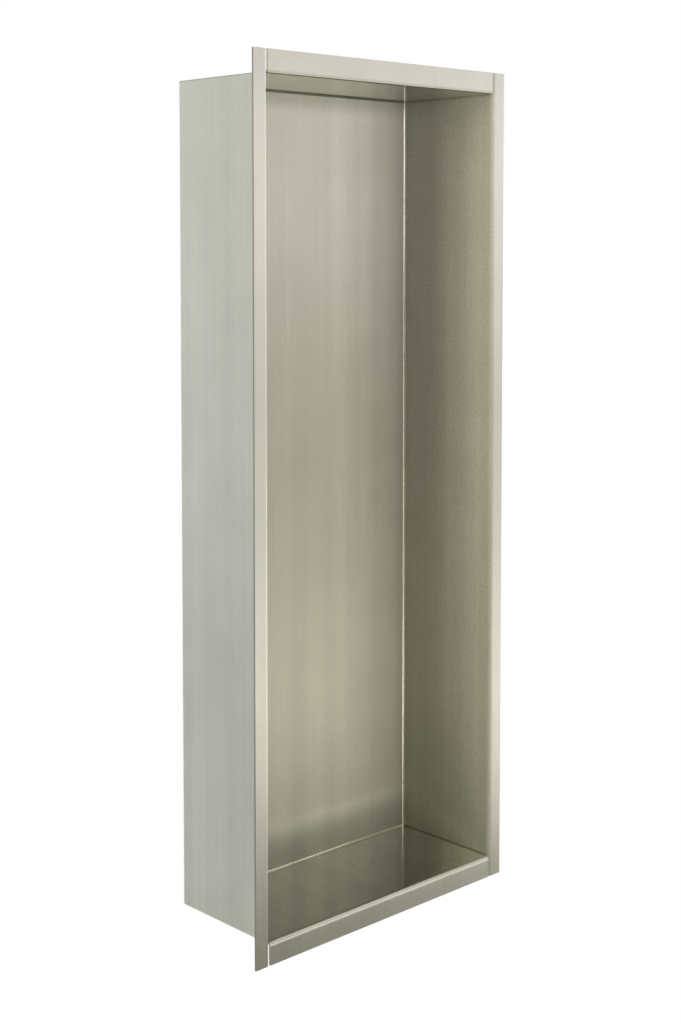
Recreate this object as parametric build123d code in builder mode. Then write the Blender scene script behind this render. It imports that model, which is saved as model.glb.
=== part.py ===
from build123d import *
import os

# Shower niche insert: a shallow upright tray of brushed stainless sheet for a tiled wall recess.
# One blank is folded into the back, four walls and four front flanges. The four corner seams are
# welded and dressed outside. The side flanges run the full height, and the top and bottom flanges
# end between them. Millimetres; X across, Y into the wall, Z up.
# The origin is the centre of the opening, in the plane of the flange's back face.

# Driving dimensions
OPENING_WIDTH = 230.0  # between the side walls
OPENING_HEIGHT = 600.0  # between floor and ceiling
INSIDE_DEPTH = 95.0  # front face of the flange to the inside of the back
SHEET = 1.5  # thickness of the sheet
BEND_RADIUS = 1.5  # inside radius of every fold
SIDE_FLANGE = 12.5  # edge of the opening to the outer edge, left and right
END_FLANGE = 16.5  # edge of the opening to the outer edge, top and bottom
SEAM_GAP = 0.4  # hairline between the side walls and the floor, ceiling and end flanges
WELD_RADIUS = 1.5  # dressed outside of the corner welds
WELD_THROAT = 0.6  # how far the corner welds reach into the sheet from outside

# Derived sizes
HALF_WIDTH = OPENING_WIDTH / 2
HALF_HEIGHT = OPENING_HEIGHT / 2
FOLD_OUTSIDE = BEND_RADIUS + SHEET  # outside radius of every fold
FOLD_LINE = BEND_RADIUS  # depth at which the front folds end and the walls begin
FLANGE_HEIGHT = OPENING_HEIGHT + 2 * END_FLANGE

# Section planes: local x runs across the opening and local y runs into the wall
PLAN = Plane.XY
ELEVATION = Plane(origin=(0, 0, 0), x_dir=(0, 0, 1), z_dir=(-1, 0, 0))


def tray_form(half_width, half_height, back, fold_radius):
    """Solid tray from the front folds to the back, with its back edges rounded by the folds."""
    with BuildPart() as form:
        with BuildSketch(PLAN) as plan:
            with Locations((0, (FOLD_LINE + back) / 2)):
                Rectangle(2 * half_width, back - FOLD_LINE)
            fillet(plan.vertices().group_by(Axis.Y)[-1], fold_radius)
        extrude(amount=half_height, both=True)
        with BuildSketch(ELEVATION) as elevation:
            with Locations((0, (FOLD_LINE + back) / 2)):
                Rectangle(2 * half_height, back - FOLD_LINE)
            fillet(elevation.vertices().group_by(Axis.Y)[-1], fold_radius)
        extrude(amount=half_width, both=True, mode=Mode.INTERSECT)
    return form.part


def flange_pair(section_plane, half_opening, flange, half_length):
    """Two facing flanges, each with the fold that turns it out of its wall."""
    outer_edge = half_opening + flange
    bend_centre = (half_opening + FOLD_OUTSIDE, FOLD_LINE)
    with BuildPart() as pair:
        with BuildSketch(section_plane):
            with BuildLine():
                outside = CenterArc(bend_centre, FOLD_OUTSIDE, 180, 90)
                inside = CenterArc(bend_centre, BEND_RADIUS, 180, 90)
                Line(outside @ 0, inside @ 0)
                Polyline(outside @ 1, (outer_edge, -SHEET), (outer_edge, 0), inside @ 1)
            make_face()
            mirror(about=Plane.YZ)
        extrude(amount=half_length, both=True)
    return pair.part


outside_form = tray_form(HALF_WIDTH + SHEET, HALF_HEIGHT + SHEET, INSIDE_DEPTH, FOLD_OUTSIDE)
cavity = tray_form(HALF_WIDTH, HALF_HEIGHT, INSIDE_DEPTH - SHEET, BEND_RADIUS)
side_flanges = flange_pair(PLAN, HALF_WIDTH, SIDE_FLANGE, FLANGE_HEIGHT / 2)
end_flanges = flange_pair(ELEVATION, HALF_HEIGHT, END_FLANGE, HALF_WIDTH - SEAM_GAP)

with BuildPart() as niche_insert:
    # Tray of even thickness, its corner seams rounded by the dressed welds
    add(outside_form)
    with BuildSketch(Plane.XZ):
        RectangleRounded(OPENING_WIDTH + 2 * SHEET, OPENING_HEIGHT + 2 * SHEET, WELD_RADIUS)
    extrude(amount=INSIDE_DEPTH, both=True, mode=Mode.INTERSECT)
    add(cavity, mode=Mode.SUBTRACT)

    # Corner seams: a hairline along both sides of floor and ceiling, closed outside by the weld
    seam_depth = SHEET - WELD_THROAT
    seam_length = INSIDE_DEPTH - FOLD_OUTSIDE - FOLD_LINE
    with BuildSketch(Plane.XZ.offset(-FOLD_LINE)):
        with GridLocations(OPENING_WIDTH - SEAM_GAP, OPENING_HEIGHT + seam_depth, 2, 2):
            Rectangle(SEAM_GAP, seam_depth)
    extrude(amount=-seam_length, mode=Mode.SUBTRACT)

    # Side flanges; past the tray's ends their folds are trimmed flush with the flange's back
    add(side_flanges)
    trim_length = END_FLANGE - SHEET
    trim_height = HALF_HEIGHT + SHEET + trim_length / 2
    with Locations((0, FOLD_LINE / 2, trim_height), (0, FOLD_LINE / 2, -trim_height)):
        Box(2 * (HALF_WIDTH + FOLD_OUTSIDE), FOLD_LINE, trim_length, mode=Mode.SUBTRACT)

    # Top and bottom flanges, between the side flanges
    add(end_flanges)

niche_insert.part.label = "niche_insert"

os.makedirs("parts", exist_ok=True)
export_step(niche_insert.part, "parts/niche_insert.step")
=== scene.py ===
import math

import bmesh
import bpy
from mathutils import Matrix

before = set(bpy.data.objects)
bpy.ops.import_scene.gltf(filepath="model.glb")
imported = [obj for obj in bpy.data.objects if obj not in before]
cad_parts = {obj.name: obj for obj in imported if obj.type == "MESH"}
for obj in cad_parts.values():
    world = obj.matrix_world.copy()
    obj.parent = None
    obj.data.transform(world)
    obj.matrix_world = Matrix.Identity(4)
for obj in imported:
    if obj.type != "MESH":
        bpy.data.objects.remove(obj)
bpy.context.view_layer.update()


# Folded sheet
# The whole niche is one blank of 1.5 mm stainless sheet: back, walls, floor, ceiling and front flanges are
# folded from it, and the four corner seams are welded and dressed outside. It was brushed before folding, so
# the grain runs up the back, the walls and the flanges, and from back to front on the floor and ceiling.
def add_node(tree, kind, settings, inputs):
    """Adds a node, sets its properties, and fills its inputs with values or with other nodes' outputs."""
    made = tree.nodes.new(kind)
    for name, value in settings.items():
        setattr(made, name, value)
    for name, value in inputs.items():
        if isinstance(value, bpy.types.NodeSocket):
            tree.links.new(value, made.inputs[name])
        else:
            made.inputs[name].default_value = value
    return made


def linear(hex_colour):
    """An sRGB hex value as a linear colour with full alpha."""
    channels = [int(hex_colour[i:i + 2], 16) / 255 for i in (1, 3, 5)]
    return [c / 12.92 if c <= 0.04045 else ((c + 0.055) / 1.055) ** 2.4 for c in channels] + [1.0]


# Brushed stainless steel, ground with a fine belt: a soft metal grey with a warm cast. Light smears sideways
# across the grain. Fine streaks run along it, and so do wider bands from the belt, which end at the flanges.
# Inside, the side walls, floor and ceiling are mottled, and the floor and ceiling are rubbed smoother and a
# little greener. The folds round the back are smoother inside, and their colour is lightened as a painted
# highlight; under the ceiling that fold is darkened as painted shade. The cut edges of the flanges are dull
# and dark, and a dark line along the inner seams is painted shade.
STEEL = "#CECBBB"
RUBBED_STEEL = "#C0C5B4"
WALL_ROUGHNESS = 0.50
RUBBED_ROUGHNESS = 0.05
FOLD_ROUGHNESS = 0.20
CUT_ROUGHNESS = 0.60
ROUGHNESS_CHANGE = (0.9, 1.1)  # from streak to streak
ANISOTROPY = 0.95
SMEAR_NUDGE = 0.001
GRAIN_WIDTH = 0.0009  # the real scratches are about 0.1 mm wide; drawn coarser so that they show
GRAIN_STRETCH = 0.012  # share of the width scale that is left along the grain
GRAIN_DEPTH = 0.00005
GRAIN_STRENGTH = 0.25
BAND_WIDTH = 0.018  # passes of the belt
SPECKLE_SIZE = 0.0014
CLOUD_SIZE = 0.045
STREAK_RANGE = (0.25, 0.75)  # most values of the streaks' noise lie in here
NOISE_RANGE = (0.3, 0.7)  # and most of the other noises' in here
STREAK_TONE = (0.93, 1.06)  # darkest and brightest share of the colour
BAND_TONE = (0.945, 1.055)
SPECKLE_TONE = (0.975, 1.025)
MOTTLE_TONE = (0.88, 1.12)
CLOUD_TONE = (0.97, 1.03)
CUT_TONE = 0.6
# The next tone darkens a thin strip along the inner seams: painted shade in the seam grooves.
SEAM_SHADE_TONE = 0.65
# The next tone lightens the colour of the inside folds round the back: a painted highlight.
FOLD_HIGHLIGHT_TONE = 1.5
# The next tone darkens the fold under the ceiling: painted shade in that crease.
CEILING_FOLD_SHADE_TONE = 0.38
SQUARE = 0.97  # a flat face has this much of its normal along one axis
MOSTLY = 0.7  # a face that mostly looks along an axis
TILTED_FRONT = -0.1  # normal's Y where a fold looks out of the niche
TILTED_DOWN = -0.2  # normal's Z where it looks down
TRAY_START = 0.002  # behind the flanges
BACK_FOLDS = 0.0919  # the folds round the back begin here
SIDE_EDGE = 0.12745  # just inside the cut edges of the flanges
END_EDGE = 0.31645
OUTER_SIDE = 0.1158  # past these the outside of the walls begins
OUTER_END = 0.3008
SEAM_X = 0.115  # where the side walls meet the floor and the ceiling
SEAM_Z = 0.300
SEAM_REACH = 0.0014  # how far the dull line beside a seam reaches

steel = bpy.data.materials.new("brushed_stainless_steel")
steel.use_nodes = True
tree = steel.node_tree
tree.nodes.clear()
place = add_node(tree, "ShaderNodeTexCoord", {}, {})
surface = add_node(tree, "ShaderNodeNewGeometry", {}, {})

# Which way each face looks. The rubbing goes round the ceiling's front fold, but stops at the floor's.
normal_parts = add_node(tree, "ShaderNodeSeparateXYZ", {}, {0: surface.outputs["True Normal"]})
lie = add_node(tree, "ShaderNodeVectorMath", {"operation": "ABSOLUTE"}, {0: surface.outputs["True Normal"]})
lie_parts = add_node(tree, "ShaderNodeSeparateXYZ", {}, {0: lie.outputs[0]})
is_level = add_node(tree, "ShaderNodeMath", {"operation": "GREATER_THAN"},
                    {0: lie_parts.outputs["Z"], 1: SQUARE})
faces_down = add_node(tree, "ShaderNodeMath", {"operation": "LESS_THAN"},
                      {0: normal_parts.outputs["Z"], 1: -MOSTLY})
lies_flat = add_node(tree, "ShaderNodeMath", {"operation": "MAXIMUM"},
                     {0: is_level.outputs[0], 1: faces_down.outputs[0]})
faces_front = add_node(tree, "ShaderNodeMath", {"operation": "GREATER_THAN"},
                       {0: lie_parts.outputs["Y"], 1: MOSTLY})
upright_lie = add_node(tree, "ShaderNodeMath", {"operation": "MAXIMUM"},
                       {0: lie_parts.outputs["X"], 1: lie_parts.outputs["Y"]})
squareness = add_node(tree, "ShaderNodeMath", {"operation": "MAXIMUM"},
                      {0: upright_lie.outputs[0], 1: lie_parts.outputs["Z"]})
is_turned = add_node(tree, "ShaderNodeMath", {"operation": "LESS_THAN"},
                     {0: squareness.outputs[0], 1: SQUARE})
opens_front = add_node(tree, "ShaderNodeMath", {"operation": "LESS_THAN"},
                       {0: normal_parts.outputs["Y"], 1: TILTED_FRONT})
looks_down = add_node(tree, "ShaderNodeMath", {"operation": "LESS_THAN"},
                      {0: normal_parts.outputs["Z"], 1: TILTED_DOWN})

# Where each face is, measured from the middle of the opening
reach = add_node(tree, "ShaderNodeVectorMath", {"operation": "ABSOLUTE"}, {0: place.outputs["Object"]})
reach_parts = add_node(tree, "ShaderNodeSeparateXYZ", {}, {0: reach.outputs[0]})
in_tray = add_node(tree, "ShaderNodeMath", {"operation": "GREATER_THAN"},
                   {0: reach_parts.outputs["Y"], 1: TRAY_START})
at_back = add_node(tree, "ShaderNodeMath", {"operation": "GREATER_THAN"},
                   {0: reach_parts.outputs["Y"], 1: BACK_FOLDS})
past_side = add_node(tree, "ShaderNodeMath", {"operation": "GREATER_THAN"},
                     {0: reach_parts.outputs["X"], 1: OUTER_SIDE})
past_end = add_node(tree, "ShaderNodeMath", {"operation": "GREATER_THAN"},
                    {0: reach_parts.outputs["Z"], 1: OUTER_END})
is_outside = add_node(tree, "ShaderNodeMath", {"operation": "MAXIMUM"},
                      {0: past_side.outputs[0], 1: past_end.outputs[0]})
at_side = add_node(tree, "ShaderNodeMath", {"operation": "GREATER_THAN"},
                   {0: reach_parts.outputs["X"], 1: SIDE_EDGE})
at_end = add_node(tree, "ShaderNodeMath", {"operation": "GREATER_THAN"},
                  {0: reach_parts.outputs["Z"], 1: END_EDGE})
from_seam = add_node(tree, "ShaderNodeVectorMath", {"operation": "SUBTRACT"},
                     {0: reach.outputs[0], 1: (SEAM_X, 0.0, SEAM_Z)})
seam_gap = add_node(tree, "ShaderNodeVectorMath", {"operation": "ABSOLUTE"}, {0: from_seam.outputs[0]})
seam_parts = add_node(tree, "ShaderNodeSeparateXYZ", {}, {0: seam_gap.outputs[0]})
seam_distance = add_node(tree, "ShaderNodeMath", {"operation": "MAXIMUM"},
                         {0: seam_parts.outputs["X"], 1: seam_parts.outputs["Z"]})
near_seam = add_node(tree, "ShaderNodeMapRange", {}, {
    "Value": seam_distance.outputs[0], "From Max": SEAM_REACH, "To Min": 1.0, "To Max": 0.0})

# What each face is
is_rubbed = add_node(tree, "ShaderNodeMath", {"operation": "SUBTRACT", "use_clamp": True},
                     {0: lies_flat.outputs[0], 1: is_outside.outputs[0]})
is_clean = add_node(tree, "ShaderNodeMath", {"operation": "MAXIMUM"},
                    {0: faces_front.outputs[0], 1: is_outside.outputs[0]})
bends_inside = add_node(tree, "ShaderNodeMath", {"operation": "MULTIPLY"},
                        {0: is_turned.outputs[0], 1: opens_front.outputs[0]})
# These folds are smoother, and their colour is also lightened there as a painted highlight.
is_fold = add_node(tree, "ShaderNodeMath", {"operation": "MULTIPLY"},
                   {0: bends_inside.outputs[0], 1: at_back.outputs[0]})
# The fold under the ceiling is darkened as painted shade.
is_ceiling_fold = add_node(tree, "ShaderNodeMath", {"operation": "MULTIPLY"},
                           {0: is_fold.outputs[0], 1: looks_down.outputs[0]})
is_cut = add_node(tree, "ShaderNodeMath", {"operation": "MAXIMUM"},
                  {0: at_side.outputs[0], 1: at_end.outputs[0]})
# The strip beside the inner seams is darkened as painted shade.
is_seam = add_node(tree, "ShaderNodeMath", {"operation": "MULTIPLY"},
                   {0: near_seam.outputs[0], 1: in_tray.outputs[0]})

# Grain, bands, speckle and clouds. A Mix node's inputs go by number: 0 is its factor, 2 and 3 its numbers,
# 4 and 5 its vectors, and 6 and 7 its colours. Its outputs 0, 1 and 2 match them.
across = 1 / GRAIN_WIDTH
along = across * GRAIN_STRETCH
wall_grain = add_node(tree, "ShaderNodeVectorMath", {"operation": "MULTIPLY"},
                      {0: place.outputs["Object"], 1: (across, across, along)})
floor_grain = add_node(tree, "ShaderNodeVectorMath", {"operation": "MULTIPLY"},
                       {0: place.outputs["Object"], 1: (across, along, across)})
grain_place = add_node(tree, "ShaderNodeMix", {"data_type": "VECTOR"},
                       {0: lies_flat.outputs[0], 4: wall_grain.outputs[0], 5: floor_grain.outputs[0]})
streaks = add_node(tree, "ShaderNodeTexNoise", {},
                   {"Vector": grain_place.outputs[1], "Scale": 1.0, "Detail": 3.0, "Roughness": 0.6})
bands = add_node(tree, "ShaderNodeTexNoise", {},
                 {"Vector": grain_place.outputs[1], "Scale": GRAIN_WIDTH / BAND_WIDTH, "Detail": 2.0})
speckle = add_node(tree, "ShaderNodeTexNoise", {},
                   {"Vector": place.outputs["Object"], "Scale": 1 / SPECKLE_SIZE, "Detail": 2.0})
cloud = add_node(tree, "ShaderNodeTexNoise", {},
                 {"Vector": place.outputs["Object"], "Scale": 1 / CLOUD_SIZE, "Detail": 4.0})

# Tone
streak_tone = add_node(tree, "ShaderNodeMapRange", {}, {
    "Value": streaks.outputs[0], "From Min": STREAK_RANGE[0], "From Max": STREAK_RANGE[1],
    "To Min": STREAK_TONE[0], "To Max": STREAK_TONE[1]})
noise_tones = []
for noise, (dark, bright) in ((bands, BAND_TONE), (speckle, SPECKLE_TONE),
                              (speckle, MOTTLE_TONE), (cloud, CLOUD_TONE)):
    noise_tones.append(add_node(tree, "ShaderNodeMapRange", {}, {
        "Value": noise.outputs[0], "From Min": NOISE_RANGE[0], "From Max": NOISE_RANGE[1],
        "To Min": dark, "To Max": bright}))
band_tone, speckle_tone, mottle_tone, cloud_tone = noise_tones
tray_band_tone = add_node(tree, "ShaderNodeMix", {},
                          {0: in_tray.outputs[0], 2: 1.0, 3: band_tone.outputs[0]})
spot_tone = add_node(tree, "ShaderNodeMix", {},
                     {0: is_clean.outputs[0], 2: mottle_tone.outputs[0], 3: speckle_tone.outputs[0]})
part_tones = [tray_band_tone, spot_tone, cloud_tone]
# The cut edges are darker sheared steel; the seam and ceiling fold tones are painted shade, the fold tone is
# a painted highlight.
for part, share in ((is_cut, CUT_TONE), (is_seam, SEAM_SHADE_TONE),
                    (is_fold, FOLD_HIGHLIGHT_TONE), (is_ceiling_fold, CEILING_FOLD_SHADE_TONE)):
    part_tones.append(add_node(tree, "ShaderNodeMapRange", {},
                               {"Value": part.outputs[0], "To Min": 1.0, "To Max": share}))
tone = streak_tone
for part_tone in part_tones:
    tone = add_node(tree, "ShaderNodeMath", {"operation": "MULTIPLY"},
                    {0: tone.outputs[0], 1: part_tone.outputs[0]})
face_colour = add_node(tree, "ShaderNodeMix", {"data_type": "RGBA"},
                       {0: is_rubbed.outputs[0], 6: linear(STEEL), 7: linear(RUBBED_STEEL)})
colour = add_node(tree, "ShaderNodeMix", {"data_type": "RGBA", "blend_type": "MULTIPLY"},
                  {0: 1.0, 6: face_colour.outputs[2], 7: tone.outputs[0]})

# Finish. Light smears along the tangent, which is level and crosses the grain. On the floor and the ceiling
# the level line vanishes, and a nudge sideways takes its place.
face_roughness = add_node(tree, "ShaderNodeMapRange", {}, {
    "Value": is_rubbed.outputs[0], "To Min": WALL_ROUGHNESS, "To Max": RUBBED_ROUGHNESS})
fold_roughness = add_node(tree, "ShaderNodeMix", {},
                          {0: is_fold.outputs[0], 2: face_roughness.outputs[0], 3: FOLD_ROUGHNESS})
edge_roughness = add_node(tree, "ShaderNodeMix", {},
                          {0: is_cut.outputs[0], 2: fold_roughness.outputs[0], 3: CUT_ROUGHNESS})
roughness_change = add_node(tree, "ShaderNodeMapRange", {}, {
    "Value": streaks.outputs[0], "From Min": STREAK_RANGE[0], "From Max": STREAK_RANGE[1],
    "To Min": ROUGHNESS_CHANGE[0], "To Max": ROUGHNESS_CHANGE[1]})
roughness = add_node(tree, "ShaderNodeMath", {"operation": "MULTIPLY"},
                     {0: edge_roughness.outputs[0], 1: roughness_change.outputs[0]})
relief = add_node(tree, "ShaderNodeBump", {},
                  {"Strength": GRAIN_STRENGTH, "Distance": GRAIN_DEPTH, "Height": streaks.outputs[0]})
level_line = add_node(tree, "ShaderNodeVectorMath", {"operation": "CROSS_PRODUCT"},
                      {0: (0.0, 0.0, 1.0), 1: surface.outputs["True Normal"]})
smear = add_node(tree, "ShaderNodeVectorMath", {"operation": "ADD"},
                 {0: level_line.outputs[0], 1: (SMEAR_NUDGE, 0.0, 0.0)})
shader = add_node(tree, "ShaderNodeBsdfPrincipled", {}, {
    "Base Color": colour.outputs[2], "Metallic": 1.0, "Roughness": roughness.outputs[0],
    "Anisotropic": ANISOTROPY, "Normal": relief.outputs[0], "Tangent": smear.outputs[0]})
add_node(tree, "ShaderNodeOutputMaterial", {}, {"Surface": shader.outputs[0]})

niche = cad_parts["niche_insert"]
niche.data.materials.clear()
niche.data.materials.append(steel)


# Floor
# A sheet of white background paper under the niche, which is held above it as it would be in a wall.
# It is laid square to the camera.
PAPER = "#E9E9E7"
PAPER_HALF = 1.4
PAPER_SHIFT = 0.2  # further from the camera
FLOOR_HEIGHT = -1.4
VIEW_TURN = math.radians(-43.455)
paper = bpy.data.materials.new("background_paper")
paper.use_nodes = True
tree = paper.node_tree
tree.nodes.clear()
ray = add_node(tree, "ShaderNodeLightPath", {}, {})
seen = add_node(tree, "ShaderNodeMath", {"operation": "MAXIMUM"},
                {0: ray.outputs["Is Camera Ray"], 1: ray.outputs["Is Glossy Ray"]})
seen_too = add_node(tree, "ShaderNodeMath", {"operation": "MAXIMUM"},
                    {0: seen.outputs[0], 1: ray.outputs["Is Transmission Ray"]})
matt = add_node(tree, "ShaderNodeBsdfDiffuse", {}, {"Color": linear(PAPER)})
white = add_node(tree, "ShaderNodeEmission", {}, {"Strength": seen_too.outputs[0]})
both = add_node(tree, "ShaderNodeAddShader", {}, {0: matt.outputs[0], 1: white.outputs[0]})
add_node(tree, "ShaderNodeOutputMaterial", {}, {"Surface": both.outputs[0]})

sheet = bmesh.new()
bmesh.ops.create_grid(sheet, x_segments=1, y_segments=1, size=PAPER_HALF)
bmesh.ops.translate(sheet, vec=(0.0, PAPER_SHIFT, FLOOR_HEIGHT), verts=sheet.verts)
floor_mesh = bpy.data.meshes.new("studio_floor")
sheet.to_mesh(floor_mesh)
sheet.free()
floor = bpy.data.objects.new("studio_floor", floor_mesh)
floor.rotation_euler.z = VIEW_TURN
floor.data.materials.append(paper)
bpy.context.scene.collection.objects.link(floor)


# Studio light
# Softboxes stand to the right, in front and to the left of the niche, with weak ones overhead and behind it
# on the left. Behind the niche is a white backdrop, which the metal sees too.
LAMP_DISTANCE = 2.6


def add_softbox(name, azimuth, low, high, spread, radiance, colour):
    """A rectangular lamp that faces the niche. Azimuth 0 is behind the niche and 90 on its right."""
    turn = math.radians(azimuth)
    rise = math.radians((low + high) / 2)
    level_distance = LAMP_DISTANCE * math.cos(rise)
    lamp = bpy.data.lights.new(name, "AREA")
    lamp.shape = "RECTANGLE"
    lamp.size = 2 * LAMP_DISTANCE * math.tan(math.radians(spread / 2))
    lamp.size_y = 2 * LAMP_DISTANCE * math.tan(math.radians((high - low) / 2))
    lamp.energy = radiance * math.pi * lamp.size * lamp.size_y
    lamp.color = linear(colour)[:3]
    box = bpy.data.objects.new(name, lamp)
    box.location = (level_distance * math.sin(turn), level_distance * math.cos(turn),
                    LAMP_DISTANCE * math.sin(rise))
    box.rotation_euler = (math.radians(90) - rise, 0.0, math.pi - turn)
    box.visible_camera = False
    bpy.context.scene.collection.objects.link(box)


# Azimuth, lowest and highest elevation and width in degrees, then radiance and colour
add_softbox("softbox_right_low", 106.0, -25.0, -12.0, 32.0, 6.2, "#E9EDFF")
add_softbox("softbox_right_high", 106.0, -12.0, 30.0, 32.0, 3.9, "#E9EDFF")
add_softbox("softbox_front_low", 171.0, -26.0, -17.0, 60.0, 2.5, "#FFFCF4")
add_softbox("softbox_front_mid", 171.0, -17.0, 3.0, 60.0, 1.2, "#FFFCF4")
add_softbox("softbox_front_high", 171.0, 3.0, 16.0, 60.0, 2.75, "#FBF8FF")
add_softbox("softbox_overhead", 185.0, 38.0, 88.0, 70.0, 0.9, "#FFFCF4")
add_softbox("softbox_left_low", 262.0, -40.0, -10.0, 12.0, 3.0, "#FFFDEE")
add_softbox("softbox_left_high", 262.0, -10.0, 46.0, 12.0, 5.5, "#FFFDEE")
add_softbox("softbox_back_left", 316.0, -30.0, 46.0, 40.0, 1.0, "#9FBFFF")

ROOM = "#4A4A48"
BACKDROP = "#FFFFFF"
BACKDROP_EDGE = (0.2, 0.6)  # it fades in between these, as a share of straight back
world = bpy.data.worlds.new("studio_room")
world.use_nodes = True
bpy.context.scene.world = world
tree = world.node_tree
tree.nodes.clear()
ray = add_node(tree, "ShaderNodeLightPath", {}, {})
direction = add_node(tree, "ShaderNodeTexCoord", {}, {})
behind = add_node(tree, "ShaderNodeVectorMath", {"operation": "DOT_PRODUCT"},
                  {0: direction.outputs["Generated"], 1: (0.0, 1.0, 0.0)})
backdrop = add_node(tree, "ShaderNodeMapRange", {"interpolation_type": "SMOOTHSTEP"}, {
    "Value": behind.outputs["Value"], "From Min": BACKDROP_EDGE[0], "From Max": BACKDROP_EDGE[1]})
mirrored = add_node(tree, "ShaderNodeMath", {"operation": "MAXIMUM"},
                    {0: ray.outputs["Is Glossy Ray"], 1: ray.outputs["Is Transmission Ray"]})
backdrop_seen = add_node(tree, "ShaderNodeMath", {"operation": "MULTIPLY"},
                         {0: mirrored.outputs[0], 1: backdrop.outputs[0]})
whiteness = add_node(tree, "ShaderNodeMath", {"operation": "MAXIMUM"},
                     {0: ray.outputs["Is Camera Ray"], 1: backdrop_seen.outputs[0]})
room_colour = add_node(tree, "ShaderNodeMix", {"data_type": "RGBA"},
                       {0: whiteness.outputs[0], 6: linear(ROOM), 7: linear(BACKDROP)})
room_light = add_node(tree, "ShaderNodeBackground", {}, {"Color": room_colour.outputs[2], "Strength": 1.0})
add_node(tree, "ShaderNodeOutputWorld", {}, {"Surface": room_light.outputs[0]})


# Camera
# It stands to the left of the niche, a little above its middle, and looks across the opening. The lens shift
# keeps the upright edges upright, as in the photograph.
lens = bpy.data.cameras.new("camera")
lens.lens = 56.48
lens.sensor_width = 36.0
lens.shift_y = -0.17
camera = bpy.data.objects.new("camera", lens)
camera.location = (-0.82896, -0.82648, 0.18632)
camera.rotation_euler = (math.radians(86.587), 0.0, VIEW_TURN)
bpy.context.scene.collection.objects.link(camera)
bpy.context.scene.camera = camera
bpy.context.scene.view_settings.view_transform = "Standard"
